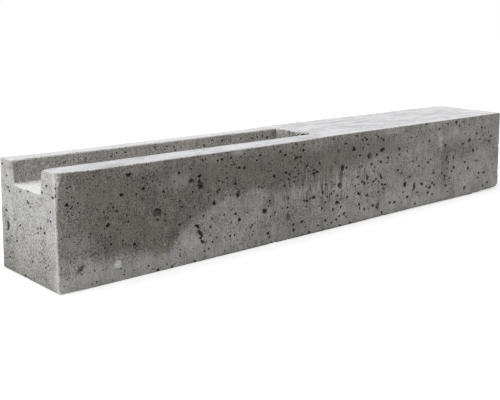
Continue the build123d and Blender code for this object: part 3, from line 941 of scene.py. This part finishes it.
def stains_and_painted_light(co, out, faces):
    """Where the concrete is damp, pale, grimy or brushed, and where shade and light are painted on."""
    x, y, z = co.T
    share = {name: belonging(co, out, face) for name, face in faces.items()}
    front, head, top = share["front"], share["head"], share["top"]
    border_x, border_z, strength = (np.array(row) for row in zip(*DAMP_BORDER))
    along = co * np.array((1, 0, 0.2))
    wander = noise_at(along, 24, 6.1) + 0.8 * noise_at(along, 9, 2.3)
    border = np.interp(x, border_x, border_z) + DAMP_WANDER * wander
    damp = np.interp(x, border_x, strength) * fade(z - border, -DAMP_SOFTNESS, DAMP_SOFTNESS)
    damp *= 1 - 0.4 * fade(z, 128, 148) * fade(x, -460, -400)
    damp = np.maximum(damp, patches(x, z, DARK_PATCHES))
    behind = fade(z - 70 - 45 * noise_at(co * np.array((1, 1, 0)), 260, 4.4), -25, 25)
    grime_and_shade = sum(FACE_GRIME.get(name, 0) * amount for name, amount in share.items())
    # painted light: the seen side is made lighter towards its foot, against the shade that falls there
    grime_and_shade -= front * 0.35 * (1 - fade(z, 10, 50))
    # the head end is darker towards its bottom and its back
    heights, amounts = zip(*HEAD_DARKENING)
    sideways = 1 + 0.3 * y / HALF_BOTTOM
    grime_and_shade += head * np.interp(z, heights, amounts) * sideways
    grime_and_shade += share["end_wall"] * patches(y, z, END_SHADES)
    # painted shade: the far wall is darkened into its inside corner with the slot's end, and made a little
    # lighter from x -330 towards the foot
    grime_and_shade += share["far_wall"] * (fade(x, slot_end_x - 16, slot_end_x - 5) - 0.1 * fade(x, -330, -180))
    # painted shadow: a dark line along the seen side's lower edge, where it meets the floor
    grime_and_shade += front * 0.9 * (1 - fade(z, 0.5, 3.5)) * fade(x, -360, -200)
    pale = front * patches(x, z, PALE_PATCHES)
    pale += head * (0.35 * fade(z, -20, 90) + 0.3 * fade(z, 70, 110))
    bleach_and_highlight = share["floor"] * 0.9 * (1 - fade(x, -470, -380))
    arris = 0.35 * fade(-y, 56, 72) + 0.55 * fade(-y, 70.5, 73.5)
    over_slot = 1 - fade(x, slot_end_x - 10, slot_end_x + 40)
    bleach_and_highlight += top * 0.4 * fade(y, 20, 45) * over_slot
    bleach_and_highlight += top * 0.5 * fade(-y, 58, 69) * (1 - over_slot)
    bleach_and_highlight += top * 0.3 * fade(x, 380, 480)
    # painted highlight: the top's rim just past the slot's end is made pale as if it caught the light
    past_end = (x > slot_end_x) * (1 - fade(x, slot_end_x + 3, slot_end_x + 9))
    past_end *= 1 - fade(np.abs(y), 30, 38)
    bleach_and_highlight += top * 0.7 * past_end
    bleach_and_highlight += head * arris * (0.75 + 0.5 * noise_at(co, 7, 9.1))
    # darker flecks along the rim at the slot's end
    at_rim = (1 - fade(np.abs(x - slot_end_x), 1, 3)) * fade(z, HEIGHT - 6, HEIGHT - 3)
    spread = sum(
        amount * (1 - fade(np.abs(y - middle), 0.4 * half, 1.2 * half)) for middle, half, amount in END_RIM_DARKENING
    )
    rim_darkening = np.clip(at_rim * spread * (0.8 + 1.6 * noise_at(co, 3, 1.3)), 0, 1)
    return {
        "damp": front * damp + share["back"] * 0.8 * behind + share["far_wall"] * 0.45,
        "pale": pale,
        "bleach_and_highlight": np.clip(bleach_and_highlight, 0, 1),
        "grime_and_shade": grime_and_shade,
        "rim_darkening": rim_darkening,
        "brushed": front * patches(x, z, BRUSHED),
    }


class Paint:
    """The nodes of a material or a world, built with short calls."""

    def __init__(self, owner):
        owner.use_nodes = True
        self.tree = owner.node_tree
        self.tree.nodes.clear()

    def node(self, kind, inputs=None, **settings):
        node = self.tree.nodes.new("ShaderNode" + kind)
        for name, value in settings.items():
            setattr(node, name, value)
        for name, value in (inputs or {}).items():
            if isinstance(value, bpy.types.NodeSocket):
                self.tree.links.new(value, node.inputs[name])
            else:
                node.inputs[name].default_value = value
        return node

    def math(self, operation, a, b=0.0, clamp=False):
        return self.node("Math", {0: a, 1: b}, operation=operation, use_clamp=clamp).outputs[0]

    def times(self, a, b, clamp=False):
        return self.math("MULTIPLY", a, b, clamp)

    def clamped(self, value):
        return self.math("ADD", value, 0.0, clamp=True)

    def mix(self, share, a, b, blend="MIX"):
        node = self.node("Mix", {0: share, 6: a, 7: b}, data_type="RGBA", blend_type=blend)
        return node.outputs[2]

    def tinted(self, share, colour, tint):
        return self.mix(share, colour, self.mix(1.0, colour, tint, "MULTIPLY"))

    def stretched(self, place, *scale):
        return self.node("Mapping", {"Vector": place, "Scale": scale}).outputs[0]

    def noise(self, place, scale, detail=3.0, roughness=0.55):
        inputs = {"Vector": place, "Scale": scale, "Detail": detail, "Roughness": roughness}
        return self.node("TexNoise", inputs).outputs["Fac"]

    def band(self, value, low, high, from_zero=0.0, to_one=1.0):
        inputs = {"Value": value, "From Min": low, "From Max": high, "To Min": from_zero, "To Max": to_one}
        return self.node("MapRange", inputs, interpolation_type="SMOOTHSTEP").outputs[0]

    def attribute(self, name):
        return self.node("Attribute", attribute_name=name).outputs["Fac"]

    def swing(self, value, amount):
        """A noise value turned into a swing either side of zero."""
        return self.times(self.math("SUBTRACT", value, 0.5), amount)

    def total(self, *values):
        result = values[0]
        for value in values[1:]:
            result = self.math("ADD", result, value)
        return result

    def showing(self):
        """1 for the rays that show the background, also in gloss and glass, and 0 for the rest."""
        rays = self.node("LightPath")
        seen = self.math("MAXIMUM", rays.outputs["Is Camera Ray"], rays.outputs["Is Glossy Ray"])
        return self.math("MAXIMUM", seen, rays.outputs["Is Transmission Ray"])


def linear(red, green, blue):
    """A screen colour, 0 to 255, as the linear colour that shaders take."""
    channels = []
    for value in (red, green, blue):
        share = value / 255
        channels.append(share / 12.92 if share <= 0.04045 else ((share + 0.055) / 1.055) ** 2.4)
    return (*channels, 1.0)


CONCRETE_DARK = linear(118, 117, 115)
CONCRETE_PALE = linear(224, 223, 221)
TOP_SKIN = linear(228, 228, 230)
TOP_STREAK = linear(193, 193, 195)
LIGHT_SKIN = linear(211, 211, 210)
WORN_TONE = linear(226, 225, 222)
# the tint of grime and of painted shade
GRIME_AND_SHADE_TINT = linear(212, 211, 209)
DAMP_TINT = linear(198, 195, 189)
BROWN_TINT = linear(252, 248, 243)
# the tone of bleached concrete and of painted highlights
BLEACH_AND_HIGHLIGHT_TONE = linear(244, 244, 243)
# the colour of the painted shade in the pits and dents
PIT_SHADE_TINT = linear(74, 71, 68)
BROKEN_TONE = linear(158, 157, 154)
SPECK_TINT = linear(120, 117, 112)


def concrete():
    """Cast concrete: sandy, mottled, brushed, speckled and damp, with dark pits and pale worn edges. The
    pits' darkness is painted shade, and some of the grime and of the pale marks is painted shade and painted
    light.
    """
    material = bpy.data.materials.new("concrete")
    paint = Paint(material)
    coords = paint.node("TexCoord")
    place = coords.outputs["Object"]
    facing = paint.node("SeparateXYZ", {0: coords.outputs["Normal"]})
    lengthways = facing.outputs["X"]
    top = paint.band(facing.outputs["Z"], 0.75, 0.97)

    streak = paint.noise(paint.stretched(place, 330.0, 330.0, 32.0), 1.0, 2.0, 0.6)
    stroke = paint.noise(paint.stretched(place, 250.0, 250.0, 48.0), 1.0, 1.0, 0.6)
    sweep = paint.noise(paint.stretched(place, 14.0, 90.0, 90.0), 1.0, 4.0, 0.65)
    cloud = paint.noise(place, 18.0, 3.0)
    blotch = paint.noise(place, 55.0, 4.0, 0.65)
    grain = paint.noise(place, 420.0, 1.0, 0.6)
    sand = paint.noise(place, 800.0, 1.0, 0.6)

    rubbed = paint.attribute("brushed")
    texture = paint.total(
        paint.times(paint.swing(blotch, 1.15), paint.band(lengthways, -0.9, -0.6, 0.75, 1.0)),
        paint.swing(grain, 1.0),
        paint.swing(sand, 2.4),
        paint.band(sand, 0.58, 0.75, 0.0, 0.35),
        paint.times(paint.swing(streak, 0.65), paint.band(lengthways, -0.9, -0.6)),
        paint.times(paint.swing(stroke, 3.2), rubbed),
    )
    endward = paint.band(lengthways, -0.9, -0.6, 1.5, 1.0)
    rough = paint.times(paint.band(top, 0.0, 1.0, 1.0, 0.3), endward)
    tone = paint.total(0.5, paint.swing(cloud, 0.7), paint.times(texture, rough))
    colour = paint.mix(paint.clamped(tone), CONCRETE_DARK, CONCRETE_PALE)

    # grime, with painted shade in the slot's corner and along the seen side's lower edge and painted light at
    # that side's foot; the strongest turns a speckled dark
    grime_and_shade = paint.attribute("grime_and_shade")
    colour = paint.tinted(paint.math("MINIMUM", grime_and_shade, 1.0), colour, GRIME_AND_SHADE_TINT)
    murk = paint.band(grime_and_shade, 1.0, 2.5)
    colour = paint.tinted(murk, colour, SPECK_TINT)
    strokes = paint.times(paint.swing(stroke, 1.0), paint.band(rubbed, 0.0, 1.0, 0.4, 3.0))
    damp = paint.total(paint.attribute("damp"), paint.swing(blotch, 1.3), strokes)
    damp = paint.band(damp, 0.0, 1.0)
    colour = paint.tinted(damp, colour, DAMP_TINT)
    brown = paint.times(damp, paint.band(cloud, 0.35, 0.75))
    colour = paint.tinted(brown, colour, BROWN_TINT)

    pale = paint.times(paint.attribute("pale"), paint.band(blotch, 0.25, 0.6, 0.5, 1.0))
    pale = paint.times(pale, 0.45, clamp=True)
    colour = paint.mix(pale, colour, LIGHT_SKIN)

    skin = paint.total(paint.swing(sweep, 5.2), paint.swing(grain, 3.0), paint.swing(blotch, 2.2), 0.66)
    skin = paint.mix(paint.clamped(skin), TOP_STREAK, TOP_SKIN)
    colour = paint.mix(paint.times(top, 0.9), colour, skin)

    # bleached concrete, with painted highlights on the rim past the slot's end and on the rounded end of the
    # near upright edge
    bleach_and_highlight_share = paint.times(paint.attribute("bleach_and_highlight"), paint.band(grain, 0.3, 0.6, 0.55, 1.0))
    colour = paint.mix(bleach_and_highlight_share, colour, BLEACH_AND_HIGHLIGHT_TONE)

    worn = paint.times(paint.attribute("worn"), paint.band(grain, 0.35, 0.6, 0.25, 0.8))
    colour = paint.mix(worn, colour, WORN_TONE)

    cells = paint.node("TexVoronoi", {"Vector": place, "Scale": 170.0})
    chance = paint.node("SeparateXYZ", {0: cells.outputs["Color"]}).outputs["X"]
    chance = paint.total(chance, paint.swing(cloud, 1.2))
    dot = paint.math("SUBTRACT", 1.0, paint.band(cells.outputs["Distance"], 0.12, 0.22))
    speck = paint.times(dot, paint.band(chance, 0.68, 0.74))
    speck = paint.times(speck, paint.math("SUBTRACT", 1.0, paint.times(top, 0.8)))
    colour = paint.tinted(speck, colour, SPECK_TINT)

    broken = paint.times(paint.attribute("broken"), paint.band(top, 0.0, 1.0, 0.6, 0.0))
    colour = paint.mix(broken, colour, BROKEN_TONE)
    # painted shade: the pits and dents are darkened as if shaded, and the slot end's rim gets darker flecks
    pit = paint.attribute("pit")
    colour = paint.tinted(pit, colour, PIT_SHADE_TINT)

    height = paint.total(
        paint.swing(grain, 0.6),
        paint.swing(sand, 0.6),
        paint.swing(blotch, 0.4),
        paint.times(speck, -0.8),
    )
    bump = paint.node("Bump", {"Strength": 0.5, "Distance": 0.001, "Height": height}).outputs[0]
    roughness = paint.band(damp, 0.0, 1.0, 0.93, 0.8)
    shader = paint.node("BsdfPrincipled", {"Base Color": colour, "Roughness": roughness, "Normal": bump})
    shader.inputs["Specular IOR Level"].default_value = 0.3
    paint.node("OutputMaterial", {"Surface": shader.outputs[0]})
    return material


FLOOR_ALBEDO = 0.7
FLOOR_LIFT = 0.55  # added where it is looked at, so that the lit floor is white and the shadow shows
FLOOR_SIZE = 14.0


def floor_piece():
    """A plain pale floor. It shows white where it is lit and keeps the post's shadow."""
    mesh = bpy.data.meshes.new("floor")
    half = FLOOR_SIZE / 2
    square = [(-half, -half, 0), (half, -half, 0), (half, half, 0), (-half, half, 0)]
    mesh.from_pydata(square, [], [(0, 1, 2, 3)])
    material = bpy.data.materials.new("floor")
    mesh.materials.append(material)
    paint = Paint(material)
    matt = paint.node("BsdfDiffuse", {"Color": (FLOOR_ALBEDO, FLOOR_ALBEDO, FLOOR_ALBEDO, 1)})
    lift = paint.node("Emission", {"Strength": paint.times(paint.showing(), FLOOR_LIFT)})
    both = paint.node("AddShader", {0: matt.outputs[0], 1: lift.outputs[0]})
    paint.node("OutputMaterial", {"Surface": both.outputs[0]})
    return placed("floor", mesh)


AMBIENT = 0.55
KEY_STRENGTH = 1.75
KEY_FROM = (-0.52, 0.2, 0.84)
KEY_SPREAD = 45.0


def light():
    """Plain soft light: an even pale room, and a wide lamp from the head end's upper left."""
    world = bpy.data.worlds.new("room")
    bpy.context.scene.world = world
    paint = Paint(world)
    strength = paint.node("MapRange", {"Value": paint.showing(), "To Min": AMBIENT, "To Max": 1.0})
    back = paint.node("Background", {"Color": (1, 1, 1, 1), "Strength": strength.outputs[0]})
    paint.node("OutputWorld", {"Surface": back.outputs[0]})

    lamp = bpy.data.lights.new("key", "SUN")
    lamp.energy = KEY_STRENGTH
    lamp.angle = math.radians(KEY_SPREAD)
    key = placed("key", lamp)
    key.rotation_mode = "QUATERNION"
    key.rotation_quaternion = Vector(KEY_FROM).to_track_quat("Z", "Y")


CAMERA_PLACE = (-0.98929, -0.94283, 0.35480)
CAMERA_AZIMUTH = 42.856  # from +Y towards +X
CAMERA_PITCH = -13.273
CAMERA_ROLL = 1.016
CAMERA_LENS = 59.98
CAMERA_SENSOR = 36.0
CAMERA_NEAREST = 0.01


def camera():
    """The camera at the photograph's viewing angle."""
    azimuth, pitch, roll = (math.radians(a) for a in (CAMERA_AZIMUTH, CAMERA_PITCH, CAMERA_ROLL))
    forward = Vector((
        math.sin(azimuth) * math.cos(pitch),
        math.cos(azimuth) * math.cos(pitch),
        math.sin(pitch),
    ))
    level = forward.cross(Vector((0, 0, 1))).normalized()
    upright = level.cross(forward)
    right = level * math.cos(roll) + upright * math.sin(roll)
    up = right.cross(forward)
    turn = Matrix((right, up, -forward)).transposed().to_4x4()
    lens = bpy.data.cameras.new("camera")
    lens.lens = CAMERA_LENS
    lens.sensor_width = CAMERA_SENSOR
    lens.sensor_fit = "HORIZONTAL"
    lens.clip_start = CAMERA_NEAREST
    view = placed("camera", lens)
    view.matrix_world = Matrix.Translation(CAMERA_PLACE) @ turn
    bpy.context.scene.camera = view


camera()
light()
floor = floor_piece()

corners = cage_corners()
faces = {name: Face(name, [corners[corner] for corner in text.split()]) for name, text in FACES.items()}
pits = []
for name, readings, depth in (
    ("front", FRONT_PITS, PIT_DEPTH),
    ("front", FRONT_DENTS, DENT_DEPTH),
    ("head", HEAD_PITS, PIT_DEPTH),
    ("head", HEAD_DENTS, DENT_DEPTH),
    ("far_wall", SLOT_WALL_PITS, PIT_DEPTH),
):
    pits += read_pits(faces[name], readings, depth)
pits += lumps(faces["front"], FRONT_LUMPS)
for patch in PINHOLES:
    pits += pinholes(faces["front"], patch, pits)
for name, amount in SCATTERED.items():
    pits += scattered_pits(faces[name], amount)

post = post_piece(faces, pits)
post.data.materials.append(concrete())
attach(post, "root")
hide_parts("post")

bpy.context.scene.view_settings.view_transform = "Standard"
